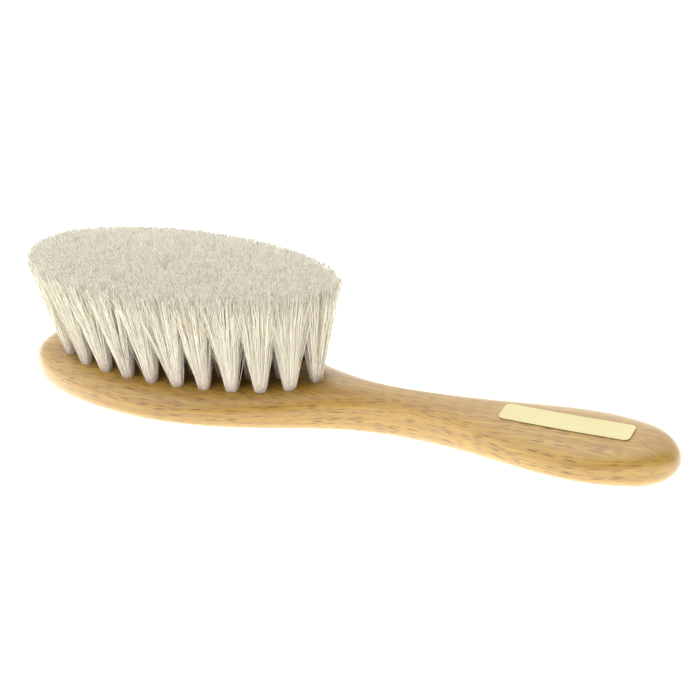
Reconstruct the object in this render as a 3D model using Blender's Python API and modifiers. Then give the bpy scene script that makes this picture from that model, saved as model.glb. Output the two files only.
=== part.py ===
"""Clothes brush: a beech stock with an oval head and a club-shaped handle, tufts of soft goat
hair set in blind holes, and a small label plate on the handle.

The brush lies on its back with the hair up. +X runs from the head to the end of the handle,
+Y runs across it and +Z is up. The flat of the back is at z = 0 and the origin is half way along
the brush. The named x positions are measured from the nose of the head. All sizes are in metres.
"""

import math

import bmesh
import bpy
from mathutils import Vector
from mathutils.geometry import interpolate_bezier

MM = 0.001
GAP = 0.3 * MM

# The outline of the stock, as half widths seen from above
LENGTH = 175.0 * MM
HEAD_X = 43.5 * MM
HEAD_HALF_WIDTH = 20.3 * MM
WAIST_X = 105.0 * MM
WAIST_HALF_WIDTH = 4.7 * MM
CLUB_X = 152.5 * MM
CLUB_HALF_WIDTH = 12.2 * MM
NOSE_FULLNESS = 10.7 * MM
HEAD_FRONT_FULLNESS = 22.0 * MM
HEAD_BACK_FULLNESS = 28.5 * MM
WAIST_FRONT_FULLNESS = 19.5 * MM
WAIST_BACK_FULLNESS = 17.0 * MM
CLUB_FRONT_FULLNESS = 15.0 * MM
CLUB_BACK_FULLNESS = 10.5 * MM
TIP_FULLNESS = 7.0 * MM
POINTS_PER_CURVE = 11

# The cross-section of the stock: rounded sides, a flatter face and a narrow flat along the back
HEAD_THICKNESS = 12.5 * MM
WAIST_THICKNESS = 12.0 * MM
CLUB_THICKNESS = 11.0 * MM
FACE_SQUARENESS = 2.8
BACK_SQUARENESS = 2.3
BACK_FLAT_CUT = 0.12 * MM
NOSE_ROLL = 7.2 * MM
TIP_ROLL = 8.8 * MM
SECTION_POINTS = 28

# The tufts, in two rings and a centre line, which fan out from the wood to the trimmed top
TUFT_FIELD_X = 46.5 * MM
OUTER_COUNT = 23
OUTER_ROOTS = (37.0 * MM, 13.4 * MM)
OUTER_TOPS = (40.0 * MM, 15.3 * MM)
OUTER_START = 0.3
MIDDLE_COUNT = 17
MIDDLE_ROOTS = (30.0 * MM, 7.6 * MM)
MIDDLE_TOPS = (32.4 * MM, 8.4 * MM)
MIDDLE_START = 0.0
CENTRE_COUNT = 6
CENTRE_ROOTS = (27.0 * MM, 65.0 * MM)
CENTRE_TOPS = (25.5 * MM, 66.5 * MM)
EGG_TAPER = 0.08
TRIM_HEIGHT = 39.6 * MM
TRIM_DOME = 1.0 * MM
ROOT_RADIUS = 1.7 * MM
TOP_RADIUS = 3.6 * MM
HOLE_RADIUS = ROOT_RADIUS + GAP
HOLE_DEPTH = 8.0 * MM
HOLE_OVERSHOOT = 6.0 * MM
TUFT_SIDES = 10
TOP_ROUNDING = 0.8 * MM

# The label plate, laid along the top of the handle
LABEL_X = 147.7 * MM
LABEL_LENGTH = 32.0 * MM
LABEL_WIDTH = 7.0 * MM
LABEL_THICKNESS = 0.3 * MM
LABEL_CORNER_RADIUS = 1.2 * MM
LABEL_CORNER_SEGMENTS = 4


def clear_scene():
    for obj in list(bpy.data.objects):
        bpy.data.objects.remove(obj)


def new_collection(name):
    collection = bpy.data.collections.new(name)
    bpy.context.scene.collection.children.link(collection)
    return collection


def new_material(name, colour, roughness, metallic):
    material = bpy.data.materials.new(name)
    material.use_nodes = True
    shader = material.node_tree.nodes["Principled BSDF"]
    shader.inputs["Base Color"].default_value = (*colour, 1.0)
    shader.inputs["Roughness"].default_value = roughness
    shader.inputs["Metallic"].default_value = metallic
    return material


def add_nose(collection):
    """An empty at the nose of the head, which every piece is placed from."""
    nose = bpy.data.objects.new("nose", None)
    collection.objects.link(nose)
    nose.location = (-LENGTH / 2.0, 0.0, 0.0)
    return nose


def new_object(name, mesh, collection, nose, material=None):
    obj = bpy.data.objects.new(name, mesh)
    collection.objects.link(obj)
    obj.parent = nose
    if material:
        mesh.materials.append(material)
    return obj


def bezier(start, start_handle, end_handle, end):
    points = [Vector((x, y, 0.0)) for x, y in (start, start_handle, end_handle, end)]
    return [(point.x, point.y) for point in interpolate_bezier(*points, POINTS_PER_CURVE)]


def stock_outline():
    """(x, half width) from the nose of the head to the tip of the handle."""
    head = (HEAD_X, HEAD_HALF_WIDTH)
    waist = (WAIST_X, WAIST_HALF_WIDTH)
    club = (CLUB_X, CLUB_HALF_WIDTH)
    nose_side = (0.0, NOSE_FULLNESS)
    head_front = (HEAD_X - HEAD_FRONT_FULLNESS, HEAD_HALF_WIDTH)
    head_back = (HEAD_X + HEAD_BACK_FULLNESS, HEAD_HALF_WIDTH)
    waist_front = (WAIST_X - WAIST_FRONT_FULLNESS, WAIST_HALF_WIDTH)
    waist_back = (WAIST_X + WAIST_BACK_FULLNESS, WAIST_HALF_WIDTH)
    club_front = (CLUB_X - CLUB_FRONT_FULLNESS, CLUB_HALF_WIDTH)
    club_back = (CLUB_X + CLUB_BACK_FULLNESS, CLUB_HALF_WIDTH)
    tip_side = (LENGTH, TIP_FULLNESS)
    curves = (
        bezier((0.0, 0.0), nose_side, head_front, head),
        bezier(head, head_back, waist_front, waist),
        bezier(waist, waist_back, club_front, club),
        bezier(club, club_back, tip_side, (LENGTH, 0.0)),
    )
    outline = [curves[0][0]]
    for curve in curves:
        outline.extend(curve[1:])
    return outline


def half_width_at(x, outline):
    for (x0, w0), (x1, w1) in zip(outline, outline[1:]):
        if x0 <= x <= x1:
            return w0 + (w1 - w0) * (x - x0) / (x1 - x0)
    return 0.0


def eased(x, x0, x1, first, last):
    t = min(max((x - x0) / (x1 - x0), 0.0), 1.0)
    return first + (last - first) * t * t * (3.0 - 2.0 * t)


def thickness_at(x):
    if x < WAIST_X:
        return eased(x, HEAD_X, WAIST_X, HEAD_THICKNESS, WAIST_THICKNESS)
    return eased(x, WAIST_X, CLUB_X, WAIST_THICKNESS, CLUB_THICKNESS)


def end_roll_at(x):
    """1 along the brush, falling to 0 at the nose and the tip as a quarter ellipse."""
    nose = min(x / NOSE_ROLL, 1.0)
    tip = min((LENGTH - x) / TIP_ROLL, 1.0)
    return math.sqrt(max(1.0 - (1.0 - nose) ** 2, 0.0) * max(1.0 - (1.0 - tip) ** 2, 0.0))


def face_height(x, y, outline):
    """Height of the upper face above the back at a point of the plan."""
    half = thickness_at(x) / 2.0
    across = min(abs(y) / half_width_at(x, outline), 1.0)
    squareness = squareness_at(x, FACE_SQUARENESS)
    bulge = (1.0 - across**squareness) ** (1.0 / squareness)
    return half + half * end_roll_at(x) * bulge


def squareness_at(x, full):
    """2 is an ellipse, as at both ends. More is squarer."""
    return 2.0 + (full - 2.0) * end_roll_at(x)


def signed_power(value, power):
    return math.copysign(abs(value) ** power, value)


def stock_section(x, half_width):
    half = thickness_at(x) / 2.0
    roll = end_roll_at(x)
    section = []
    for index in range(SECTION_POINTS):
        angle = 2.0 * math.pi * (index + 0.5) / SECTION_POINTS
        above = math.sin(angle) > 0.0
        power = 2.0 / squareness_at(x, FACE_SQUARENESS if above else BACK_SQUARENESS)
        reach = half if above else half + BACK_FLAT_CUT
        y = half_width * signed_power(math.cos(angle), power)
        z = half + reach * roll * signed_power(math.sin(angle), power)
        section.append((x, y, max(z, 0.0)))
    return section


def add_rings(mesh, rings):
    for ring, following in zip(rings, rings[1:]):
        for index in range(SECTION_POINTS):
            after = (index + 1) % SECTION_POINTS
            mesh.faces.new((ring[index], ring[after], following[after], following[index]))


def add_pole(mesh, ring, x):
    pole = mesh.verts.new((x, 0.0, thickness_at(x) / 2.0))
    for index in range(SECTION_POINTS):
        mesh.faces.new((pole, ring[index], ring[(index + 1) % SECTION_POINTS]))


def stock_mesh(outline):
    """The stock as a loft through its changing sections, closed at the nose and the tip."""
    mesh = bmesh.new()
    rings = []
    for x, half_width in outline[1:-1]:
        rings.append([mesh.verts.new(point) for point in stock_section(x, half_width)])
    add_rings(mesh, rings)
    add_pole(mesh, rings[0], 0.0)
    add_pole(mesh, rings[-1], LENGTH)
    bmesh.ops.recalc_face_normals(mesh, faces=mesh.faces)
    data = bpy.data.meshes.new("brush_stock")
    mesh.to_mesh(data)
    mesh.free()
    return data


def egg_point(angle, semi_axes):
    """A point of an oval round the tuft field, a little narrower towards the handle."""
    x = TUFT_FIELD_X + semi_axes[0] * math.cos(angle)
    y = semi_axes[1] * math.sin(angle) * (1.0 - EGG_TAPER * math.cos(angle))
    return x, y


def ring_points(count, semi_axes, start):
    """Points spaced evenly round an oval, from its end at the nose of the head."""
    steps = 2000
    curve = [egg_point(math.pi + 2.0 * math.pi * step / steps, semi_axes) for step in range(steps + 1)]
    walked = [0.0]
    for first, second in zip(curve, curve[1:]):
        walked.append(walked[-1] + math.dist(first, second))
    points = []
    for number in range(count):
        target = walked[-1] * (((number + start) / count) % 1.0)
        index = next(i for i, length in enumerate(walked) if length >= target)
        points.append(curve[index])
    return points


def line_points(count, ends):
    spacing = (ends[1] - ends[0]) / (count - 1)
    return [(ends[0] + spacing * index, 0.0) for index in range(count)]


def trim_height(x, y):
    """Height of the trimmed hair, which falls a little towards the edge of the tuft field."""
    across = ((x - TUFT_FIELD_X) / OUTER_TOPS[0]) ** 2 + (y / OUTER_TOPS[1]) ** 2
    return TRIM_HEIGHT - TRIM_DOME * across


def tuft_layout(outline):
    """(name, root, top) of every tuft, each end as a point in space."""
    roots = {
        "outer": ring_points(OUTER_COUNT, OUTER_ROOTS, OUTER_START),
        "middle": ring_points(MIDDLE_COUNT, MIDDLE_ROOTS, MIDDLE_START),
        "centre": line_points(CENTRE_COUNT, CENTRE_ROOTS),
    }
    tops = {
        "outer": ring_points(OUTER_COUNT, OUTER_TOPS, OUTER_START),
        "middle": ring_points(MIDDLE_COUNT, MIDDLE_TOPS, MIDDLE_START),
        "centre": line_points(CENTRE_COUNT, CENTRE_TOPS),
    }
    layout = []
    for group in roots:
        for number, (root, top) in enumerate(zip(roots[group], tops[group]), start=1):
            root_point = Vector((*root, face_height(*root, outline)))
            top_point = Vector((*top, trim_height(*top)))
            layout.append((f"tuft_{group}_{number:02d}", root_point, top_point))
    return layout


def top_radius(index, layout):
    """The tuft spreads until it nearly meets the nearest of the others."""
    top = layout[index][2]
    nearest = min((top - other[2]).length for place, other in enumerate(layout) if place != index)
    return min(TOP_RADIUS, (nearest - GAP) / 2.0)


def place_along(obj, root, top):
    obj.location = root
    obj.rotation_mode = "QUATERNION"
    obj.rotation_quaternion = (top - root).to_track_quat("Z", "X")


def tuft_profile(length, radius):
    """(radius, height) down the outside of a tuft, from the trimmed top to the folded root."""
    spread = radius - ROOT_RADIUS
    return (
        (0.0, length),
        (radius - TOP_ROUNDING, length - 0.25 * TOP_ROUNDING),
        (radius, length - TOP_ROUNDING),
        (ROOT_RADIUS + 0.72 * spread, 0.6 * length),
        (ROOT_RADIUS + 0.4 * spread, 0.3 * length),
        (ROOT_RADIUS, 0.0),
        (ROOT_RADIUS, GAP - HOLE_DEPTH),
        (0.0, GAP - HOLE_DEPTH),
    )


def add_tuft(name, root, top, radius, collection, nose, material):
    profile = tuft_profile((top - root).length, radius)
    mesh = bpy.data.meshes.new(name)
    points = [(r, 0.0, z) for r, z in profile]
    mesh.from_pydata(points, [(i, i + 1) for i in range(len(points) - 1)], [])
    tuft = new_object(name, mesh, collection, nose, material)
    place_along(tuft, root, top)
    screw = tuft.modifiers.new("round", "SCREW")
    screw.axis = "Z"
    screw.steps = TUFT_SIDES
    screw.render_steps = TUFT_SIDES
    screw.use_merge_vertices = True
    screw.merge_threshold = 0.00001
    screw.use_smooth_shade = True
    return tuft


def add_hole_cutter(name, root, top, collection, nose):
    """A cylinder along the tuft, from above the face down to the bottom of the blind hole."""
    mesh = bmesh.new()
    height = HOLE_DEPTH + HOLE_OVERSHOOT
    bmesh.ops.create_cone(
        mesh,
        cap_ends=True,
        segments=TUFT_SIDES,
        radius1=HOLE_RADIUS,
        radius2=HOLE_RADIUS,
        depth=height,
    )
    bmesh.ops.translate(mesh, verts=mesh.verts, vec=(0.0, 0.0, height / 2.0 - HOLE_DEPTH))
    data = bpy.data.meshes.new(name)
    mesh.to_mesh(data)
    mesh.free()
    cutter = new_object(name, data, collection, nose)
    place_along(cutter, root, top)
    cutter.hide_render = True
    cutter.display_type = "WIRE"
    return cutter


def add_stock(outline, cutters, collection, nose, material):
    stock = new_object("brush_stock", stock_mesh(outline), collection, nose, material)
    for polygon in stock.data.polygons:
        polygon.use_smooth = True
    holes = stock.modifiers.new("tuft_holes", "BOOLEAN")
    holes.operation = "DIFFERENCE"
    holes.operand_type = "COLLECTION"
    holes.collection = cutters
    holes.solver = "EXACT"
    return stock


def add_label(outline, collection, nose, material):
    """A thin plate with rounded corners, lying along the slope of the handle."""
    mesh = bmesh.new()
    bmesh.ops.create_cube(mesh, size=1.0)
    bmesh.ops.scale(mesh, vec=(LABEL_LENGTH, LABEL_WIDTH, LABEL_THICKNESS), verts=mesh.verts)
    upright = [edge for edge in mesh.edges if edge.verts[0].co.z * edge.verts[1].co.z < 0.0]
    bmesh.ops.bevel(
        mesh,
        geom=upright,
        offset=LABEL_CORNER_RADIUS,
        segments=LABEL_CORNER_SEGMENTS,
        profile=0.5,
        affect="EDGES",
    )
    data = bpy.data.meshes.new("label_plate")
    mesh.to_mesh(data)
    mesh.free()
    label = new_object("label_plate", data, collection, nose, material)
    front = face_height(LABEL_X - LABEL_LENGTH / 2.0, 0.0, outline)
    back = face_height(LABEL_X + LABEL_LENGTH / 2.0, 0.0, outline)
    lift = GAP + LABEL_THICKNESS / 2.0
    label.location = (LABEL_X, 0.0, (front + back) / 2.0 + lift)
    label.rotation_euler = (0.0, math.atan2(front - back, LABEL_LENGTH), 0.0)
    return label


def build():
    clear_scene()
    brush = new_collection("clothes_brush")
    cutters = new_collection("cutters")
    beech = new_material("oiled_beech", (0.56, 0.34, 0.16), 0.42, 0.0)
    hair = new_material("goat_hair", (0.74, 0.66, 0.54), 0.75, 0.0)
    foil = new_material("gold_foil", (0.86, 0.78, 0.50), 0.35, 0.3)
    outline = stock_outline()
    layout = tuft_layout(outline)
    nose = add_nose(brush)
    for index, (name, root, top) in enumerate(layout):
        add_tuft(name, root, top, top_radius(index, layout), brush, nose, hair)
        add_hole_cutter(name.replace("tuft", "hole"), root, top, cutters, nose)
    add_stock(outline, cutters, brush, nose, beech)
    add_label(outline, brush, nose, foil)


build()
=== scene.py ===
"""The look of the clothes brush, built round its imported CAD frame.

The stock, every tuft and the label are rebuilt finely in the places the CAD gives them: carved
beech, loose goat hair strand by strand, and a pale gold foil label. +X runs from the head to the
handle, the hair points up and the floor is at z = 0. All sizes are in metres.
"""

import math

import bmesh
import bpy
import numpy as np
from mathutils import Matrix, Vector
from mathutils.geometry import interpolate_bezier


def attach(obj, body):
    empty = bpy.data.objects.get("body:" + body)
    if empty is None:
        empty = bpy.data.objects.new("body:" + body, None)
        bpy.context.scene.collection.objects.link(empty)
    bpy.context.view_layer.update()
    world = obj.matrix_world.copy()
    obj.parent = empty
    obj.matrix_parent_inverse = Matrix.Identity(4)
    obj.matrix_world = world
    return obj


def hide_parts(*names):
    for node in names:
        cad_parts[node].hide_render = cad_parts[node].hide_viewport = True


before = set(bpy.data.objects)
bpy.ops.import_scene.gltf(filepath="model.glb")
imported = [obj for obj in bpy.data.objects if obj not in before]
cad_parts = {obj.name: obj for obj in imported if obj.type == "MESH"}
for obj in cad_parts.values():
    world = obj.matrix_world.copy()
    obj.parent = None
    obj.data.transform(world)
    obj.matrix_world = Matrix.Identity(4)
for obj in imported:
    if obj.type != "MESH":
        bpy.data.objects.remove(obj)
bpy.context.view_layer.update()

MM = 0.001
BODY = "root"

# The outline of the stock, as half widths seen from above, with x measured from the nose
LENGTH = 175.0 * MM
HEAD_X = 43.5 * MM
HEAD_HALF_WIDTH = 20.3 * MM
WAIST_X = 105.0 * MM
WAIST_HALF_WIDTH = 4.7 * MM
CLUB_X = 152.5 * MM
CLUB_HALF_WIDTH = 12.2 * MM
NOSE_FULLNESS = 10.7 * MM
HEAD_FRONT_FULLNESS = 22.0 * MM
HEAD_BACK_FULLNESS = 28.5 * MM
WAIST_FRONT_FULLNESS = 19.5 * MM
WAIST_BACK_FULLNESS = 17.0 * MM
CLUB_FRONT_FULLNESS = 15.0 * MM
CLUB_BACK_FULLNESS = 10.5 * MM
TIP_FULLNESS = 7.0 * MM
POINTS_PER_CURVE = 44

# The cross-section of the stock
HEAD_THICKNESS = 12.5 * MM
WAIST_THICKNESS = 12.0 * MM
CLUB_THICKNESS = 11.0 * MM
FACE_SQUARENESS = 2.8
BACK_SQUARENESS = 2.3
BACK_FLAT_CUT = 0.12 * MM
NOSE_ROLL = 7.2 * MM
TIP_ROLL = 8.8 * MM
SECTION_POINTS = 96
SHARP_ANGLE = math.radians(40.0)

# The tuft field: two oval rings and a centre line, fanning out from the wood to the trimmed top
TUFT_FIELD_X = 46.5 * MM
OUTER_COUNT = 23
OUTER_ROOTS = (37.0 * MM, 13.4 * MM)
OUTER_TOPS = (40.0 * MM, 15.3 * MM)
OUTER_START = 0.3
MIDDLE_COUNT = 17
MIDDLE_ROOTS = (30.0 * MM, 7.6 * MM)
MIDDLE_TOPS = (32.4 * MM, 8.4 * MM)
MIDDLE_START = 0.0
CENTRE_COUNT = 6
CENTRE_ROOTS = (27.0 * MM, 65.0 * MM)
CENTRE_TOPS = (25.5 * MM, 66.5 * MM)
EGG_TAPER = 0.08
OVAL_STEPS = 2000
TRIM_HEIGHT = 40.1 * MM
TRIM_DOME = 0.8 * MM
HOLE_RADIUS = 1.42 * MM
HOLE_DEPTH = 8.0 * MM
HOLE_OVERSHOOT = 6.0 * MM
HOLE_SIDES = 24

# Where the tips of the hairs are, seen from above
HAIR_SEED = 41
TIP_FIELD = (43.2 * MM, 19.4 * MM)
TIP_GRID_MARGIN = 1.15
TIP_SPACING = 0.215 * MM
TIP_SCATTER = 0.35 * MM
RAGGED_EDGE = 1.00 * MM
BORDER_MIXING = 1.8 * MM

# How high the tips are: most trimmed level, some stunted, some proud, and all lower at the rim.
# From here on, a pair of limits such as STUNTED_BY is the range of an even random draw
TRIM_UNEVENNESS = 0.22 * MM
STUNTED_SHARE = 0.14
STUNTED_BY = (0.3 * MM, 3.0 * MM)
PROUD_SHARE = 0.10
PROUD_BY = (0.2 * MM, 1.2 * MM)
RIM_WIDTH = 1.8 * MM
RIM_DROP = 0.8 * MM
RIM_STEEPEST = 1.4
RIM_DROP_OF_LOCK = 0.6

# The path of a strand from its hole to its tip
STRAND_START_DEPTH = 1.2 * MM
BUNDLE_RADIUS = 1.34 * MM
BUNDLE_TWIST = 0.12
TRUMPET = 0.38
SWAY = 0.25 * MM
RIPPLE = 0.08 * MM
TIP_CURL = 0.90 * MM
CURL_RISE = 5.0 * MM
RIM_CURL = 0.25

# Locks: strands of a tuft that cling together above the root and part again towards their tips.
# The grip is full at 1 / LOCK_CLIMB of the way up, and LOCK_PARTING of it is gone at the tip
LOCKS = 90
LOCK_GRIP = 0.55
LOCK_GRIP_VARIES = (0.3, 1.4)
LOCK_CLIMB = 2.5
LOCK_PARTING = 0.40

# Strays: hairs that have come away from their tuft
STRAYS = 9
STRAY_START = 0.7 * BUNDLE_RADIUS
STRAY_LENGTH = (8.0 * MM, 22.0 * MM)
STRAY_LEAN = (0.10, 0.30)
STRAY_CURL = 0.7 * MM

# The strands themselves, their tones, and the painted shade on what is buried SHADE_DEPTH inside the
# tufts
STRAND_RADIUS = 0.062 * MM
STRAND_RADIUS_VARIES = (0.75, 1.35)
TAPER_FROM = 0.7
TIP_THICKNESS = 0.9
STRAND_RINGS = 7
STRAND_SIDES = 3
LOCK_TONES = (0.15, 1.0)
LOCK_TONE_SHARE = 0.48
SHADE_DEPTH = 5.0 * MM
SHADE_FALL = 2.2

# The label
LABEL_X = 147.7 * MM
LABEL_LENGTH = 32.0 * MM
LABEL_WIDTH = 7.0 * MM
LABEL_CORNER_RADIUS = 1.4 * MM
LABEL_FOIL = 0.26 * MM
LABEL_LIFT = 0.02 * MM
LABEL_ROWS = 12
LABEL_COLUMNS = 24
LABEL_CORNER_STEPS = 8

# The wire anchors in the holes
ANCHOR_CLEARANCE = 0.05 * MM
ANCHOR_THICKNESS = 0.35 * MM
ANCHOR_HEIGHT = 1.8 * MM
ANCHOR_SEAT = 1.6 * MM
ANCHOR_ROUNDING = 0.06 * MM

# The camera
CAMERA_AZIMUTH = math.radians(27.3)
CAMERA_ELEVATION = math.radians(27.95)
CAMERA_ROLL = math.radians(-4.6)
CAMERA_DISTANCE = 0.4226
CAMERA_TARGET = Vector((0.00495, 0.0, 0.02135))
CAMERA_LENS = 89.2
SENSOR_WIDTH = 36.0
CLIP_START = 0.01
CLIP_END = 50.0

# The studio: a white floor that glows, a sky brightest low behind the brush, and two round lights,
# each as (name, place, diameter, power)
FLOOR_SIZE = 12.0
FLOOR_GLOW = 1.85
BACKDROP_DIRECTION = (-0.40, 0.80, 0.45)
BACKDROP_SPREAD = 0.95
SKY_STRENGTH = 0.42
BACKDROP_STRENGTH = 1.45
LIGHTS = (
    ("key", (-0.80, -0.65, 0.60), 1.6, 9.8),
    ("top", (0.05, 0.10, 1.20), 1.4, 7.5),
)
DIFFUSE_BOUNCES = 12

# The beech, in linear (red, green, blue), and how its grain changes over the curved surface
BEECH_DARK = (0.405, 0.233, 0.030)
BEECH_LIGHT = (0.470, 0.292, 0.048)
GROWTH_LINE = (0.292, 0.148, 0.023)
FIBRE = (0.266, 0.130, 0.020)
FAINT_FLECK = (0.195, 0.078, 0.008)
STRONG_FLECK = (0.13, 0.044, 0.004)
STRONG_PLACES = (0.0, 0.0, 0.0)
FAINT_PLACES = (3.1, 1.7, 5.3)
FLECK_EDGE = (0.24, 0.38)
FLECK_VARIETY = 0.2
STEEP_SIDES = (0.45, 0.75)
END_GRAIN = (0.35, 0.85)

# The hair: the colour of each tone from 0 to 1, and what is laid over it
HAIR_TONES = (
    (0.00, (0.35, 0.22, 0.11)),
    (0.012, (0.55, 0.42, 0.25)),
    (0.06, (0.80, 0.72, 0.52)),
    (0.20, (0.94, 0.905, 0.77)),
    (0.55, (0.97, 0.945, 0.84)),
    (0.76, (0.97, 0.945, 0.86)),
    (0.88, (0.80, 0.77, 0.69)),
    (1.00, (0.52, 0.485, 0.41)),
)
HAIR_STREAK = (0.70, 0.62, 0.48)
# Painted shade: the hair is darkened in speckles towards its tips, between these heights
HAIR_TIP_SHADE = (0.56, 0.50, 0.41)
TIP_SHADE_HEIGHTS = (35.5 * MM, 39.5 * MM)
# A pinker root tone together with painted shade: the hair is darker and pinker near the wood, fading out
# between these heights
HAIR_ROOT_TINT_AND_SHADE = (0.86, 0.76, 0.69)
ROOT_TINT_AND_SHADE_HEIGHTS = (12.0 * MM, 20.0 * MM)
# Painted shade: the dark brown laid on the hair deep between the tufts near the wood
HAIR_PAINTED_SHADE = (0.26, 0.155, 0.085)
HAIR_SHEEN = (1.0, 0.97, 0.88)

# The label, the anchors and the floor
FOIL_DARK = (0.600, 0.535, 0.268)
FOIL_LIGHT = (0.632, 0.567, 0.300)
# The label's edge, painted dark as shade
FOIL_EDGE_DARK = (0.20, 0.15, 0.06)
FOIL_EDGE_LIGHT = (0.34, 0.27, 0.12)
WIRE_DARK = (0.55, 0.53, 0.50)
WIRE_LIGHT = (0.68, 0.66, 0.62)
FLOOR_GREY = (0.5, 0.5, 0.5)
FLOOR_WHITE = (1.0, 0.985, 0.91)

# Sockets of the Mix node: its factor, and its two inputs and its result for numbers and for colours
MIX_FACTOR = 0
MIX_NUMBERS = (2, 3)
MIX_COLOURS = (6, 7)
MIXED_NUMBER = 0
MIXED_COLOUR = 2


# ---------------------------------------------------------------- the shape of the stock


def bezier(start, start_handle, end_handle, end):
    """Points of one cubic curve of the outline, its ends included."""
    points = [Vector((x, y, 0.0)) for x, y in (start, start_handle, end_handle, end)]
    return [(point.x, point.y) for point in interpolate_bezier(*points, POINTS_PER_CURVE)]


def stock_outline():
    """(x, half width) from the nose of the head to the tip of the handle."""
    head = (HEAD_X, HEAD_HALF_WIDTH)
    waist = (WAIST_X, WAIST_HALF_WIDTH)
    club = (CLUB_X, CLUB_HALF_WIDTH)
    nose_side = (0.0, NOSE_FULLNESS)
    head_front = (HEAD_X - HEAD_FRONT_FULLNESS, HEAD_HALF_WIDTH)
    head_back = (HEAD_X + HEAD_BACK_FULLNESS, HEAD_HALF_WIDTH)
    waist_front = (WAIST_X - WAIST_FRONT_FULLNESS, WAIST_HALF_WIDTH)
    waist_back = (WAIST_X + WAIST_BACK_FULLNESS, WAIST_HALF_WIDTH)
    club_front = (CLUB_X - CLUB_FRONT_FULLNESS, CLUB_HALF_WIDTH)
    club_back = (CLUB_X + CLUB_BACK_FULLNESS, CLUB_HALF_WIDTH)
    tip_side = (LENGTH, TIP_FULLNESS)
    curves = (
        bezier((0.0, 0.0), nose_side, head_front, head),
        bezier(head, head_back, waist_front, waist),
        bezier(waist, waist_back, club_front, club),
        bezier(club, club_back, tip_side, (LENGTH, 0.0)),
    )
    outline = [curves[0][0]]
    for curve in curves:
        outline.extend(curve[1:])
    return outline


OUTLINE = stock_outline()
OUTLINE_X = np.array([x for x, _ in OUTLINE])
OUTLINE_HALF = np.array([half for _, half in OUTLINE])


def eased(x, x0, x1, first, last):
    """first up to x0 and last from x1 on, with a smooth change between."""
    t = min(max((x - x0) / (x1 - x0), 0.0), 1.0)
    return first + (last - first) * t * t * (3.0 - 2.0 * t)


def thickness_at(x):
    if x < WAIST_X:
        return eased(x, HEAD_X, WAIST_X, HEAD_THICKNESS, WAIST_THICKNESS)
    return eased(x, WAIST_X, CLUB_X, WAIST_THICKNESS, CLUB_THICKNESS)


def end_roll_at(x):
    """1 along the brush, falling to 0 at the nose and the tip as a quarter ellipse."""
    nose = min(x / NOSE_ROLL, 1.0)
    tip = min((LENGTH - x) / TIP_ROLL, 1.0)
    return math.sqrt(max(1.0 - (1.0 - nose) ** 2, 0.0) * max(1.0 - (1.0 - tip) ** 2, 0.0))


def squareness_at(x, full):
    """2 is an ellipse, as at both ends. More is squarer."""
    return 2.0 + (full - 2.0) * end_roll_at(x)


def face_height(x, y):
    """Height of the upper face above the back at a point of the plan."""
    half = thickness_at(x) / 2.0
    across = min(abs(y) / float(np.interp(x, OUTLINE_X, OUTLINE_HALF)), 1.0)
    squareness = squareness_at(x, FACE_SQUARENESS)
    bulge = (1.0 - across**squareness) ** (1.0 / squareness)
    return half + half * end_roll_at(x) * bulge


def signed_power(value, power):
    return math.copysign(abs(value) ** power, value)


def stock_section(x, half_width):
    """One cross-section at x: squarer above than below, with the lowest part cut off flat."""
    half = thickness_at(x) / 2.0
    roll = end_roll_at(x)
    section = []
    for index in range(SECTION_POINTS):
        angle = 2.0 * math.pi * (index + 0.5) / SECTION_POINTS
        above = math.sin(angle) > 0.0
        power = 2.0 / squareness_at(x, FACE_SQUARENESS if above else BACK_SQUARENESS)
        reach = half if above else half + BACK_FLAT_CUT
        y = half_width * signed_power(math.cos(angle), power)
        z = half + reach * roll * signed_power(math.sin(angle), power)
        section.append((x - LENGTH / 2.0, y, max(z, 0.0)))
    return section


def stock_mesh():
    """The stock as a fine loft through its changing sections, closed at the nose and the tip."""
    mesh = bmesh.new()
    rings = []
    for x, half_width in OUTLINE[1:-1]:
        rings.append([mesh.verts.new(point) for point in stock_section(x, half_width)])
    for ring, following in zip(rings, rings[1:]):
        for index in range(SECTION_POINTS):
            after = (index + 1) % SECTION_POINTS
            mesh.faces.new((ring[index], ring[after], following[after], following[index]))
    for ring, x in ((rings[0], 0.0), (rings[-1], LENGTH)):
        pole = mesh.verts.new((x - LENGTH / 2.0, 0.0, thickness_at(x) / 2.0))
        for index in range(SECTION_POINTS):
            mesh.faces.new((pole, ring[index], ring[(index + 1) % SECTION_POINTS]))
    bmesh.ops.recalc_face_normals(mesh, faces=mesh.faces)
    data = bpy.data.meshes.new("beech_stock")
    mesh.to_mesh(data)
    mesh.free()
    return data


# ---------------------------------------------------------------- where the tufts are


def egg_point(angle, semi_axes):
    """A point of an oval round the tuft field, a little narrower towards the handle."""
    x = TUFT_FIELD_X + semi_axes[0] * math.cos(angle)
    y = semi_axes[1] * math.sin(angle) * (1.0 - EGG_TAPER * math.cos(angle))
    return x, y


def ring_points(count, semi_axes, start):
    """Points spaced evenly round an oval, from its end at the nose of the head."""
    angles = [math.pi + 2.0 * math.pi * step / OVAL_STEPS for step in range(OVAL_STEPS + 1)]
    curve = [egg_point(angle, semi_axes) for angle in angles]
    walked = [0.0]
    for first, second in zip(curve, curve[1:]):
        walked.append(walked[-1] + math.dist(first, second))
    points = []
    for number in range(count):
        target = walked[-1] * (((number + start) / count) % 1.0)
        index = next(i for i, length in enumerate(walked) if length >= target)
        points.append(curve[index])
    return points


def line_points(count, ends):
    """Points spaced evenly along the centre line."""
    spacing = (ends[1] - ends[0]) / (count - 1)
    return [(ends[0] + spacing * index, 0.0) for index in range(count)]


def trim_height(x, y):
    """Height of the trimmed hair, which falls a little towards the edge of the tuft field."""
    across = ((x - TUFT_FIELD_X) / OUTER_TOPS[0]) ** 2 + (y / OUTER_TOPS[1]) ** 2
    return TRIM_HEIGHT - TRIM_DOME * across


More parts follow.
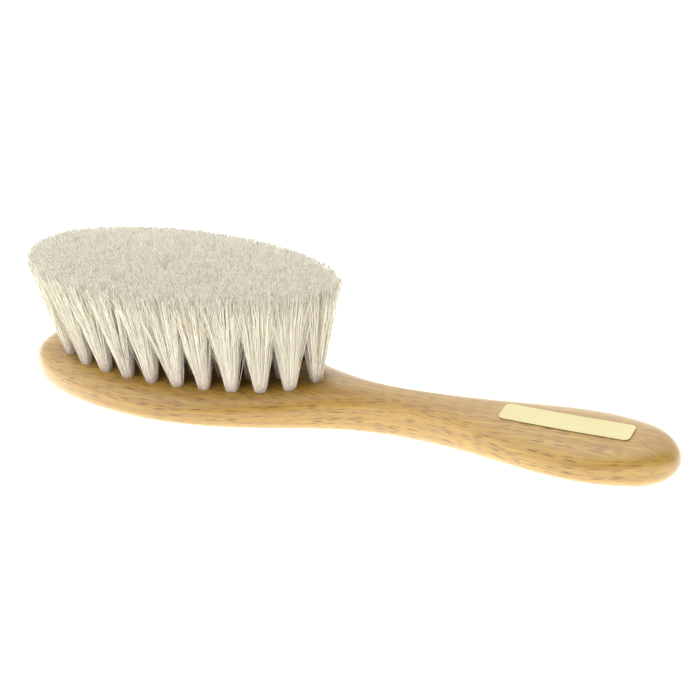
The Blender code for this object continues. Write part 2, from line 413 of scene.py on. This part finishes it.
def tuft_layout():
    """(name, root, top) of every tuft, with x measured from the nose."""
    roots = {
        "outer": ring_points(OUTER_COUNT, OUTER_ROOTS, OUTER_START),
        "middle": ring_points(MIDDLE_COUNT, MIDDLE_ROOTS, MIDDLE_START),
        "centre": line_points(CENTRE_COUNT, CENTRE_ROOTS),
    }
    tops = {
        "outer": ring_points(OUTER_COUNT, OUTER_TOPS, OUTER_START),
        "middle": ring_points(MIDDLE_COUNT, MIDDLE_TOPS, MIDDLE_START),
        "centre": line_points(CENTRE_COUNT, CENTRE_TOPS),
    }
    layout = []
    for group in roots:
        for number, (root, top) in enumerate(zip(roots[group], tops[group]), start=1):
            root_point = Vector((*root, face_height(*root)))
            top_point = Vector((*top, trim_height(*top)))
            layout.append((f"{group}_{number:02d}", root_point, top_point))
    return layout


# ---------------------------------------------------------------- objects


def add_piece(name, data, material, replaced=None):
    """Puts a mesh in the scene as a piece of the brush. replaced is the CAD node it stands for."""
    piece = bpy.data.objects.new(name, data)
    bpy.context.scene.collection.objects.link(piece)
    data.materials.clear()
    data.materials.append(material)
    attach(piece, BODY)
    if replaced:
        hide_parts(replaced)
    return piece


def along(root, top):
    """The matrix that stands a shape drawn along +Z on its root, pointing at its top."""
    place = Matrix.Translation(root - Vector((LENGTH / 2.0, 0.0, 0.0)))
    return place @ (top - root).to_track_quat("Z", "X").to_matrix().to_4x4()


def hole_cutters(layout):
    """One mesh of all the blind holes' cutters, which stand clear of each other."""
    mesh = bmesh.new()
    height = HOLE_DEPTH + HOLE_OVERSHOOT
    lift = Matrix.Translation((0.0, 0.0, height / 2.0 - HOLE_DEPTH))
    for _, root, top in layout:
        bmesh.ops.create_cone(
            mesh,
            cap_ends=True,
            segments=HOLE_SIDES,
            radius1=HOLE_RADIUS,
            radius2=HOLE_RADIUS,
            depth=height,
            matrix=along(root, top) @ lift,
        )
    data = bpy.data.meshes.new("hole_cutters")
    mesh.to_mesh(data)
    mesh.free()
    return bpy.data.objects.new("hole_cutters", data)


def add_stock(layout, material):
    """The stock with its holes cut."""
    stock = bpy.data.objects.new("stock_blank", stock_mesh())
    cutters = hole_cutters(layout)
    for obj in (stock, cutters):
        bpy.context.scene.collection.objects.link(obj)
    holes = stock.modifiers.new("tuft_holes", "BOOLEAN")
    holes.operation = "DIFFERENCE"
    holes.object = cutters
    holes.solver = "EXACT"
    graph = bpy.context.evaluated_depsgraph_get()
    carved = bpy.data.meshes.new_from_object(stock.evaluated_get(graph))
    for obj in (stock, cutters):
        bpy.data.objects.remove(obj)
    carved.polygons.foreach_set("use_smooth", [True] * len(carved.polygons))
    carved.set_sharp_from_angle(angle=SHARP_ANGLE)
    add_piece("beech_stock", carved, material, "brush_stock")


# ---------------------------------------------------------------- hair


def past_outline(points):
    """How far each point, measured from the middle of the field, is outside the trimmed outline."""
    length, width = TIP_FIELD
    along_field = points[:, 0] / length
    reach = np.hypot(along_field, points[:, 1] / (width * (1.0 - EGG_TAPER * along_field)))
    at_least = np.finfo(float).eps
    return np.linalg.norm(points, axis=1) * (1.0 - 1.0 / np.maximum(reach, at_least))


def tip_field(random):
    """Tips scattered evenly over the trimmed top, thinning out at its edge, as (x, y) from the nose."""
    length, width = np.array(TIP_FIELD) * TIP_GRID_MARGIN
    x = np.arange(-length, length, TIP_SPACING)
    y = np.arange(-width, width, TIP_SPACING)
    grid = np.stack(np.meshgrid(x, y), axis=-1).reshape(-1, 2)
    grid += random.uniform(-0.5, 0.5, grid.shape) * TIP_SPACING
    inside = past_outline(grid) < random.normal(0.0, RAGGED_EDGE, len(grid))
    return grid[inside] + (TUFT_FIELD_X, 0.0)


def share_tips(tips, layout, random):
    """The index of the tuft that each tip grows from: one of the nearest, mixed at the borders."""
    tops = np.array([(top.x, top.y) for _, _, top in layout])
    distance = np.linalg.norm(tips[:, None, :] - tops[None, :, :], axis=2)
    distance += random.normal(0.0, BORDER_MIXING, distance.shape)
    return distance.argmin(axis=1)


def smooth_step(t):
    """0 up to 0, 1 from 1 on, and a smooth rise between."""
    t = np.clip(t, 0.0, 1.0)
    return t * t * (3.0 - 2.0 * t)


def tuft_axes(root, top):
    """Unit vectors along a tuft and across it, the latter two towards +X and +Y."""
    axis = np.array((top - root).normalized())
    side = np.cross((0.0, 1.0, 0.0), axis)
    side /= np.linalg.norm(side)
    return axis, side, np.cross(axis, side)


def bundle_places(offsets, random):
    """Places in the round bundle at the root, filled evenly, in the same order as the tips."""
    reach = np.linalg.norm(offsets, axis=1)
    rank = reach.argsort().argsort() / len(reach)
    radius = BUNDLE_RADIUS * np.sqrt(rank)
    angle = np.arctan2(offsets[:, 1], offsets[:, 0]) + random.normal(0.0, BUNDLE_TWIST, len(reach))
    return radius[:, None] * np.column_stack([np.cos(angle), np.sin(angle)])


def tip_heights(tips, lock, random):
    """Height of every tip: trimmed, with some short and some proud hairs, and falling off at the rim."""
    count = len(tips)
    shorter = np.abs(random.normal(0.0, TRIM_UNEVENNESS, count))
    stunted = random.random(count) < STUNTED_SHARE
    shorter += stunted * random.uniform(*STUNTED_BY, count)
    proud = random.random(count) < PROUD_SHARE
    shorter -= proud * random.uniform(*PROUD_BY, count)
    rim = np.clip(1.0 + past_outline(tips - (TUFT_FIELD_X, 0.0)) / RIM_WIDTH, 0.0, RIM_STEEPEST)
    drop_of_lock = random.random(LOCKS)[lock]
    drop = RIM_DROP_OF_LOCK * drop_of_lock + (1.0 - RIM_DROP_OF_LOCK) * random.random(count)
    shorter += RIM_DROP * rim**2 * drop
    return np.array([trim_height(x, y) for x, y in tips]) - shorter


def curved_paths(start, bend, end):
    """Quadratic curves, as (strand, ring, xyz), with the ring's place from 0 to 1 along them."""
    t = np.linspace(0.0, 1.0, STRAND_RINGS)[None, :, None]
    paths = (1 - t) ** 2 * start[:, None] + 2 * t * (1 - t) * bend[:, None] + t**2 * end[:, None]
    return paths, t


def strand_paths(root, top, tips, lock, leaders, random):
    """Points along every strand of a tuft, as (strand, ring, xyz) from the nose."""
    axis, side, across = tuft_axes(root, top)
    place = bundle_places(tips - np.array((top.x, top.y)), random)
    start = np.array(root) + place[:, :1] * side + place[:, 1:] * across
    start -= axis * STRAND_START_DEPTH
    wander = tips + random.normal(0.0, TIP_SCATTER, tips.shape)
    end = np.column_stack([wander, tip_heights(wander, lock, random)])
    rise = ((end - start) @ axis)[:, None]
    straight = (start + end) / 2.0
    bend = straight + (start + axis * rise / 2.0 - straight) * TRUMPET
    paths, t = curved_paths(start, bend, end)
    paths = gather_locks(paths, leaders[lock], t, random)
    sway = random.normal(0.0, SWAY, (len(tips), 1, 3)) * np.sin(np.pi * t)
    ripple = random.normal(0.0, RIPPLE, paths.shape) * smooth_step(t * 2.0)
    paths = paths + sway + ripple
    curl = np.clip(-past_outline(tips - (TUFT_FIELD_X, 0.0)) / CURL_RISE, RIM_CURL, 1.0)
    paths[:, -1, :2] += random.normal(0.0, TIP_CURL, tips.shape) * curl[:, None]
    return paths


def nearest_lock(tips, random):
    """The number of the lock that each strand belongs to, and each lock's leading strand."""
    leaders = random.choice(len(tips), size=min(LOCKS, len(tips)), replace=False)
    distance = np.linalg.norm(tips[:, None] - tips[None, leaders], axis=2)
    return distance.argmin(axis=1), leaders


def gather_locks(paths, leaders, t, random):
    """Draws neighbouring strands together into loose locks, which part a little towards the tips."""
    grip = LOCK_GRIP * (smooth_step(t * LOCK_CLIMB) - LOCK_PARTING * smooth_step(t * 2.0 - 1.0))
    grip = grip * random.uniform(*LOCK_GRIP_VARIES, len(paths))[:, None, None]
    return paths + (paths[leaders] - paths) * grip


def stray_paths(root, top, random):
    """A few hairs that have come away from a tuft and cross the gaps beside it."""
    axis, side, across = tuft_axes(root, top)
    angle = random.uniform(0.0, 2.0 * np.pi, STRAYS)
    away = np.cos(angle)[:, None] * side + np.sin(angle)[:, None] * across
    start = np.array(root) + away * STRAY_START
    length = random.uniform(*STRAY_LENGTH, STRAYS)[:, None]
    end = start + axis * length + away * random.uniform(*STRAY_LEAN, STRAYS)[:, None] * length
    bend = (start + end) / 2.0 + random.normal(0.0, STRAY_CURL, (STRAYS, 3))
    return curved_paths(start, bend, end)[0]


def strand_thickness(count, random):
    """Radius of every strand at every ring: even for most of its length, a little finer at the tip."""
    ring = np.linspace(0.0, 1.0, STRAND_RINGS)
    taper = np.interp(ring, (0.0, TAPER_FROM, 1.0), (1.0, 1.0, TIP_THICKNESS))
    return STRAND_RADIUS * random.uniform(*STRAND_RADIUS_VARIES, count)[:, None] * taper[None, :]


def strand_tones(lock, random):
    """A tone from 0 to 1 for every strand, its lock's or its own, with the strays' last."""
    lock_tones = random.uniform(*LOCK_TONES, LOCKS)[lock]
    like_its_lock = random.random(len(lock)) < LOCK_TONE_SHARE
    tones = np.where(like_its_lock, lock_tones, random.random(len(lock)))
    return np.concatenate([tones, random.random(STRAYS)])


def painted_shade_depth(paths):
    """How much painted shade each ring of every strand gets: from 0 in the open to 1 deep between the
    tufts near the wood.
    """
    rise = np.clip((paths[:, :, 2] - HEAD_THICKNESS) / (TRIM_HEIGHT - HEAD_THICKNESS), 0.0, 1.0)
    length, width = (
        root + BUNDLE_RADIUS + (tip - root - BUNDLE_RADIUS) * rise
        for root, tip in zip(OUTER_ROOTS, TIP_FIELD)
    )
    reach = np.hypot((paths[:, :, 0] - TUFT_FIELD_X) / length, paths[:, :, 1] / width)
    inside = np.clip((1.0 - reach) * width / SHADE_DEPTH, 0.0, 1.0)
    return inside * (1.0 - rise) ** SHADE_FALL


def tube_frames(paths):
    """Two unit vectors across every strand at every ring."""
    tangent = np.gradient(paths, axis=1)
    tangent /= np.linalg.norm(tangent, axis=2, keepdims=True)
    side = np.cross(tangent, (0.0, 1.0, 0.0))
    side /= np.linalg.norm(side, axis=2, keepdims=True)
    return side, np.cross(tangent, side)


def tube_corners(paths, radii):
    """The corners of every tube, ring by ring, in the frame's own coordinates."""
    side, across = tube_frames(paths)
    angle = (2.0 * np.pi * np.arange(STRAND_SIDES) / STRAND_SIDES)[:, None]
    ring = side[:, :, None] * np.cos(angle) + across[:, :, None] * np.sin(angle)
    corners = paths[:, :, None] + ring * radii[:, :, None, None]
    return corners.reshape(-1, 3) - (LENGTH / 2.0, 0.0, 0.0)


def tube_faces(count):
    """Corner numbers of the side quads and of the end triangles of every tube."""
    per_strand = STRAND_RINGS * STRAND_SIDES
    quads = []
    for band in range(STRAND_RINGS - 1):
        low = band * STRAND_SIDES
        high = low + STRAND_SIDES
        for corner in range(STRAND_SIDES):
            after = (corner + 1) % STRAND_SIDES
            quads.append((low + corner, low + after, high + after, high + corner))
    ends = [(2, 1, 0), (per_strand - 3, per_strand - 2, per_strand - 1)]
    starts = np.arange(count)[:, None, None] * per_strand
    sides = (np.array(quads)[None] + starts).reshape(-1, 4)
    caps = (np.array(ends)[None] + starts).reshape(-1, 3)
    return sides, caps


def set_on_points(data, name, values):
    """Stores one number on each point of a mesh, for its material to read."""
    attribute = data.attributes.new(name, "FLOAT", "POINT")
    attribute.data.foreach_set("value", values)


def strand_mesh(name, paths, radii, tones):
    """Every strand as a closed three-sided tube, with its tone and its painted shade depth on its points.
    """
    sides, caps = tube_faces(len(paths))
    points = tube_corners(paths, radii)
    data = bpy.data.meshes.new(name)
    data.vertices.add(len(points))
    data.vertices.foreach_set("co", points.ravel())
    data.loops.add(sides.size + caps.size)
    data.loops.foreach_set("vertex_index", np.concatenate([sides.ravel(), caps.ravel()]))
    data.polygons.add(len(sides) + len(caps))
    first = np.concatenate([np.arange(len(sides)) * 4, sides.size + np.arange(len(caps)) * 3])
    data.polygons.foreach_set("loop_start", first)
    data.update(calc_edges=True)
    data.polygons.foreach_set("use_smooth", [True] * len(data.polygons))
    set_on_points(data, "strand_tone", np.repeat(tones, STRAND_RINGS * STRAND_SIDES))
    # The painted shade of every point, for the material to lay on
    set_on_points(data, "painted_shade_depth", np.repeat(painted_shade_depth(paths).ravel(), STRAND_SIDES))
    return data


def add_hair(layout, material):
    """One piece of loose hair for each tuft of the CAD."""
    random = np.random.default_rng(HAIR_SEED)
    tips = tip_field(random)
    owner = share_tips(tips, layout, random)
    for index, (name, root, top) in enumerate(layout):
        mine = tips[owner == index]
        lock, leaders = nearest_lock(mine, random)
        paths = strand_paths(root, top, mine, lock, leaders, random)
        paths = np.concatenate([paths, stray_paths(root, top, random)])
        tones = strand_tones(lock, random)
        radii = strand_thickness(len(paths), random)
        data = strand_mesh(f"hair_{name}", paths, radii, tones)
        add_piece(f"hair_{name}", data, material, f"tuft_{name}")


# ---------------------------------------------------------------- label


def label_stations():
    """(x, half width) along the label, following its rounded corners."""
    straight = LABEL_LENGTH / 2.0 - LABEL_CORNER_RADIUS
    stations = []
    for step in range(LABEL_CORNER_STEPS + 1):
        angle = math.pi / 2.0 * step / LABEL_CORNER_STEPS
        x = straight + LABEL_CORNER_RADIUS * math.sin(angle)
        half = LABEL_WIDTH / 2.0 - LABEL_CORNER_RADIUS * (1.0 - math.cos(angle))
        stations.append((x, half))
    left = [(-x, half) for x, half in reversed(stations)]
    places = [straight * (2.0 * step / LABEL_COLUMNS - 1.0) for step in range(1, LABEL_COLUMNS)]
    middle = [(x, LABEL_WIDTH / 2.0) for x in places]
    return left + middle + stations


def add_label(material, edge_material):
    """A thin foil that follows the curve of the handle, with its edge painted dark as shade."""
    mesh = bmesh.new()
    columns = []
    for x, half in label_stations():
        column = []
        for step in range(LABEL_ROWS + 1):
            y = half * (2.0 * step / LABEL_ROWS - 1.0)
            z = face_height(LABEL_X + x, y) + LABEL_LIFT
            column.append(mesh.verts.new((LABEL_X + x - LENGTH / 2.0, y, z)))
        columns.append(column)
    for column, following in zip(columns, columns[1:]):
        for step in range(LABEL_ROWS):
            after = step + 1
            mesh.faces.new((column[step], following[step], following[after], column[after]))
    data = bpy.data.meshes.new("label_foil")
    mesh.to_mesh(data)
    mesh.free()
    label = add_piece("label_foil", data, material, "label_plate")
    data.materials.append(edge_material)
    body = label.modifiers.new("foil", "SOLIDIFY")
    body.thickness = LABEL_FOIL
    body.offset = 1.0
    body.material_offset_rim = 1


# ---------------------------------------------------------------- anchors


def add_anchors(layout, material):
    """The flat wire that holds each folded tuft across the bottom of its hole."""
    mesh = bmesh.new()
    length = 2.0 * (HOLE_RADIUS - ANCHOR_CLEARANCE)
    size = Matrix.Diagonal((length, ANCHOR_THICKNESS, ANCHOR_HEIGHT, 1.0))
    seat = Matrix.Translation((0.0, 0.0, ANCHOR_SEAT - HOLE_DEPTH))
    for _, root, top in layout:
        bmesh.ops.create_cube(mesh, size=1.0, matrix=along(root, top) @ seat @ size)
    bmesh.ops.bevel(mesh, geom=mesh.edges[:], offset=ANCHOR_ROUNDING, segments=2, affect="EDGES")
    data = bpy.data.meshes.new("tuft_anchors")
    mesh.to_mesh(data)
    mesh.free()
    add_piece("tuft_anchors", data, material)


# ---------------------------------------------------------------- materials


class Nodes:
    """Short calls for building a node tree."""

    def __init__(self, name):
        self.material = bpy.data.materials.new(name)
        self.material.use_nodes = True
        self.tree = self.material.node_tree
        self.shader = self.tree.nodes["Principled BSDF"]
        self.coordinates = self.add("ShaderNodeTexCoord")
        self.place = self.coordinates.outputs["Object"]

    def add(self, kind, **inputs):
        """A new node. An input's name has _ where the socket's name has a space."""
        node = self.tree.nodes.new(kind)
        for name, value in inputs.items():
            self.feed(node, name.replace("_", " "), value)
        return node

    def feed(self, node, name, value):
        """Links a socket to an input of a node, or sets the input to a value."""
        socket = node.inputs[name]
        if isinstance(value, bpy.types.NodeSocket):
            self.tree.links.new(value, socket)
        else:
            socket.default_value = value

    def drive(self, **inputs):
        """Sets the shader's own inputs in the same way."""
        for name, value in inputs.items():
            self.feed(self.shader, name.replace("_", " "), value)

    def maths(self, operation, *values):
        node = self.add("ShaderNodeMath")
        node.operation = operation
        for place, value in enumerate(values):
            self.feed(node, place, value)
        return node.outputs[0]

    def stretched(self, scale, offset=(0.0, 0.0, 0.0)):
        """The object's coordinates, stretched along each axis."""
        return self.add("ShaderNodeMapping", Vector=self.place, Scale=scale, Location=offset).outputs[0]

    def attribute(self, name):
        node = self.add("ShaderNodeAttribute")
        node.attribute_name = name
        return node.outputs["Fac"]

    def noise(self, scale, detail=2.0, roughness=0.5):
        """Noise with about this many features a metre along each axis."""
        node = self.add("ShaderNodeTexNoise", Vector=self.stretched(scale), Scale=1.0)
        self.feed(node, "Detail", detail)
        self.feed(node, "Roughness", roughness)
        return node.outputs[0]

    def ramp(self, factor, low, high, first=0.0, last=1.0):
        """factor from low to high, mapped to first to last and held outside."""
        limits = {"From_Min": low, "From_Max": high, "To_Min": first, "To_Max": last}
        return self.add("ShaderNodeMapRange", Value=factor, **limits).outputs[0]

    def mix(self, factor, first, second):
        """first where the factor is 0 and second where it is 1. A colour is (red, green, blue)."""
        node = self.add("ShaderNodeMix")
        node.data_type = "RGBA"
        self.feed(node, MIX_FACTOR, factor)
        for place, colour in zip(MIX_COLOURS, (first, second)):
            self.feed(node, place, rgba(colour) if isinstance(colour, tuple) else colour)
        return node.outputs[MIXED_COLOUR]

    def flecks(self, scale, offset, rarity):
        """Short ray flecks lying along X, at the nearest points of a stretched cell pattern."""
        cells = self.add("ShaderNodeTexVoronoi", Vector=self.stretched(scale, offset), Scale=1.0)
        near = self.ramp(cells.outputs["Distance"], *FLECK_EDGE, 1.0, 0.0)
        chance = self.add("ShaderNodeSeparateColor", Color=cells.outputs["Color"]).outputs[0]
        return self.maths("MULTIPLY", near, self.ramp(chance, rarity, rarity + FLECK_VARIETY))

    def facing(self, axis):
        """How squarely the surface faces along an axis of the object, from 0 to 1."""
        parts = self.add("ShaderNodeSeparateXYZ", Vector=self.coordinates.outputs["Normal"])
        return self.maths("ABSOLUTE", parts.outputs[axis])

    def lengthways(self, pattern, fine, coarse):
        """A pattern of lines along X that stay long both on the flat faces and on the steep sides."""
        node = self.add("ShaderNodeMix", Factor=self.ramp(self.facing("Y"), *STEEP_SIDES))
        for place, scales in zip(MIX_NUMBERS, ((fine, coarse), (coarse, fine))):
            self.feed(node, place, pattern(*scales))
        return node.outputs[MIXED_NUMBER]

    def bump(self, height, strength, distance):
        node = self.add("ShaderNodeBump", Height=height, Strength=strength, Distance=distance)
        self.drive(Normal=node.outputs[0])


def set_ramp(node, stops):
    """Fills a colour ramp, whose two own stops come first and last."""
    elements = node.color_ramp.elements
    for place, _ in stops[1:-1]:
        elements.new(place)
    for element, (place, colour) in zip(elements, stops):
        element.position = place
        element.color = rgba(colour)


def rgba(colour):
    return (*colour, 1.0)


def beech_material():
    """Oiled beech: tan, with faint long growth lines and short dark ray flecks along the grain.

    The scales of the patterns are in features a metre, first along the grain and then across it.
    """
    n = Nodes("beech_grain")
    clouds = n.noise((16.0, 80.0, 80.0), 3.0)
    fibres = n.lengthways(lambda y, z: n.noise((90.0, y, z), 4.0, 0.6), 2600.0, 300.0)
    lines = n.lengthways(lambda y, z: n.noise((26.0, y, z), 3.0, 0.6), 850.0, 90.0)
    strong = n.lengthways(lambda y, z: n.flecks((210.0, y, z), STRONG_PLACES, 0.33), 2600.0, 290.0)
    faint = n.lengthways(lambda y, z: n.flecks((260.0, y, z), FAINT_PLACES, 0.35), 3200.0, 320.0)
    crowd = n.ramp(n.noise((30.0, 140.0, 140.0)), 0.30, 0.60, 0.40, 1.0)
    side_grain = n.ramp(n.facing("X"), *END_GRAIN, 1.0, 0.0)
    strong_here = n.maths("MULTIPLY", strong, n.maths("MULTIPLY", crowd, side_grain))
    faint_here = n.maths("MULTIPLY", faint, side_grain)
    colour = n.mix(n.ramp(clouds, 0.35, 0.65), BEECH_DARK, BEECH_LIGHT)
    colour = n.mix(n.ramp(lines, 0.43, 0.60, 0.0, 0.50), colour, GROWTH_LINE)
    colour = n.mix(n.ramp(fibres, 0.40, 0.64, 0.0, 0.52), colour, FIBRE)
    colour = n.mix(n.maths("MULTIPLY", faint_here, 0.65), colour, FAINT_FLECK)
    colour = n.mix(n.maths("MULTIPLY", strong_here, 0.95), colour, STRONG_FLECK)
    n.drive(Base_Color=colour, Roughness=n.ramp(fibres, 0.2, 0.8, 0.36, 0.50))
    n.drive(Specular_IOR_Level=0.5, Coat_Weight=0.8, Coat_Roughness=0.36)
    n.bump(n.maths("SUBTRACT", fibres, strong), 0.35, 0.06 * MM)
    return n.material


def hair_material():
    """Goat hair: each strand its own cream, with painted shade speckled near the tips, a pinker root tone
    with painted shade by the wood, and painted brown shade deep between the tufts.
    """
    n = Nodes("goat_hair_strands")
    tones = n.add("ShaderNodeValToRGB", Fac=n.attribute("strand_tone"))
    set_ramp(tones, HAIR_TONES)
    streaks = n.noise((2600.0, 2600.0, 140.0))
    height = n.add("ShaderNodeSeparateXYZ", Vector=n.place).outputs["Z"]
    # Painted shade: speckled darkening of the hair towards the trimmed top
    tip_painted_shade = n.ramp(height, *TIP_SHADE_HEIGHTS)
    tip_painted_shade = n.maths("MULTIPLY", tip_painted_shade, n.ramp(streaks, 0.42, 0.62, 0.0, 0.30))
    colour = n.mix(n.ramp(streaks, 0.3, 0.7, 0.0, 0.12), tones.outputs["Color"], HAIR_STREAK)
    colour = n.mix(tip_painted_shade, colour, HAIR_TIP_SHADE)
    # A pinker root tone together with painted shade, darker near the wood
    colour = n.mix(n.ramp(height, *ROOT_TINT_AND_SHADE_HEIGHTS, 0.75, 0.0), colour, HAIR_ROOT_TINT_AND_SHADE)
    # Painted shade: the hair turns dark brown deep between the tufts near the wood
    colour = n.mix(n.attribute("painted_shade_depth"), colour, HAIR_PAINTED_SHADE)
    n.drive(Base_Color=colour, Roughness=n.ramp(streaks, 0.3, 0.7, 0.5, 0.68))
    n.drive(Specular_IOR_Level=0.35, Sheen_Weight=0.35, Sheen_Roughness=0.45, Sheen_Tint=rgba(HAIR_SHEEN))
    n.bump(streaks, 0.2, 0.03 * MM)
    return n.material


def foil_material():
    """Pale gold foil with a faint brushed grain."""
    n = Nodes("pale_gold_foil")
    brushed = n.noise((300.0, 9000.0, 300.0))
    patches = n.noise((150.0, 150.0, 150.0))
    colour = n.mix(n.ramp(patches, 0.3, 0.7), FOIL_DARK, FOIL_LIGHT)
    n.drive(Base_Color=colour, Roughness=n.ramp(brushed, 0.2, 0.8, 0.34, 0.46), Metallic=0.25)
    n.bump(brushed, 0.08, 0.02 * MM)
    return n.material


def foil_edge_material():
    """The edge of the label, painted dark as shade."""
    n = Nodes("foil_edge_painted_shade")
    edge_shade_noise = n.noise((700.0, 700.0, 700.0))
    colour = n.mix(n.ramp(edge_shade_noise, 0.3, 0.7), FOIL_EDGE_DARK, FOIL_EDGE_LIGHT)
    n.drive(Base_Color=colour, Roughness=n.ramp(edge_shade_noise, 0.2, 0.8, 0.5, 0.7))
    return n.material


def wire_material():
    """Plated steel wire."""
    n = Nodes("anchor_wire")
    drawn = n.noise((900.0, 9000.0, 9000.0))
    colour = n.mix(drawn, WIRE_DARK, WIRE_LIGHT)
    n.drive(Base_Color=colour, Roughness=n.ramp(drawn, 0.2, 0.8, 0.28, 0.42), Metallic=0.9)
    return n.material


def floor_material():
    """A white floor that glows, so that it throws light up under the brush."""
    n = Nodes("white_floor")
    n.drive(Base_Color=rgba(FLOOR_GREY), Roughness=0.8, Specular_IOR_Level=0.0)
    n.drive(Emission_Color=rgba(FLOOR_WHITE), Emission_Strength=FLOOR_GLOW)
    return n.material


# ---------------------------------------------------------------- studio


def add_floor():
    bpy.ops.mesh.primitive_plane_add(size=FLOOR_SIZE, location=(0.0, 0.0, 0.0))
    floor = bpy.context.object
    floor.name = "floor"
    floor.data.materials.append(floor_material())


def add_round_light(name, place, size, power):
    light = bpy.data.lights.new(name, "AREA")
    light.shape = "DISK"
    light.size = size
    light.energy = power
    lamp = bpy.data.objects.new(name, light)
    bpy.context.scene.collection.objects.link(lamp)
    lamp.location = place
    lamp.rotation_euler = (CAMERA_TARGET - Vector(place)).to_track_quat("-Z", "Y").to_euler()


def add_world():
    """A white background to look at, which lights the brush most from low behind, as a backdrop does."""
    world = bpy.data.worlds.new("white_studio")
    world.use_nodes = True
    nodes, links = world.node_tree.nodes, world.node_tree.links
    towards = nodes.new("ShaderNodeVectorMath")
    towards.operation = "DOT_PRODUCT"
    towards.inputs[1].default_value = BACKDROP_DIRECTION
    links.new(nodes.new("ShaderNodeTexCoord").outputs["Generated"], towards.inputs[0])
    strength = nodes.new("ShaderNodeMapRange")
    strength.interpolation_type = "SMOOTHSTEP"
    strength.inputs["From Max"].default_value = BACKDROP_SPREAD
    strength.inputs["To Min"].default_value = SKY_STRENGTH
    strength.inputs["To Max"].default_value = BACKDROP_STRENGTH
    links.new(towards.outputs["Value"], strength.inputs["Value"])
    lit = nodes["Background"]
    seen = nodes.new("ShaderNodeBackground")
    for background in (lit, seen):
        background.inputs["Color"].default_value = rgba((1.0, 1.0, 1.0))
    links.new(strength.outputs[0], lit.inputs["Strength"])
    choice = nodes.new("ShaderNodeMixShader")
    links.new(nodes.new("ShaderNodeLightPath").outputs["Is Camera Ray"], choice.inputs[0])
    links.new(lit.outputs[0], choice.inputs[1])
    links.new(seen.outputs[0], choice.inputs[2])
    links.new(choice.outputs[0], nodes["World Output"].inputs["Surface"])
    bpy.context.scene.world = world


def add_camera():
    """The camera of the photograph."""
    camera_data = bpy.data.cameras.new("camera")
    camera_data.lens = CAMERA_LENS
    camera_data.sensor_width = SENSOR_WIDTH
    camera_data.clip_start = CLIP_START
    camera_data.clip_end = CLIP_END
    camera = bpy.data.objects.new("camera", camera_data)
    bpy.context.scene.collection.objects.link(camera)
    level = math.cos(CAMERA_ELEVATION)
    back_x = math.sin(CAMERA_AZIMUTH) * level
    back_y = -math.cos(CAMERA_AZIMUTH) * level
    back = Vector((back_x, back_y, math.sin(CAMERA_ELEVATION)))
    right = Vector((math.cos(CAMERA_AZIMUTH), math.sin(CAMERA_AZIMUTH), 0.0))
    turn = Matrix((right, back.cross(right), back)).transposed().to_4x4()
    roll = Matrix.Rotation(CAMERA_ROLL, 4, "Z")
    camera.matrix_world = Matrix.Translation(CAMERA_TARGET + back * CAMERA_DISTANCE) @ turn @ roll
    bpy.context.scene.camera = camera


def add_studio():
    add_floor()
    add_world()
    for light in LIGHTS:
        add_round_light(*light)
    add_camera()
    bpy.context.scene.view_settings.view_transform = "Standard"
    bpy.context.scene.cycles.diffuse_bounces = DIFFUSE_BOUNCES
    bpy.context.scene.cycles.denoising_prefilter = "NONE"


def build():
    layout = tuft_layout()
    add_stock(layout, beech_material())
    add_hair(layout, hair_material())
    add_label(foil_material(), foil_edge_material())
    add_anchors(layout, wire_material())
    add_studio()


build()
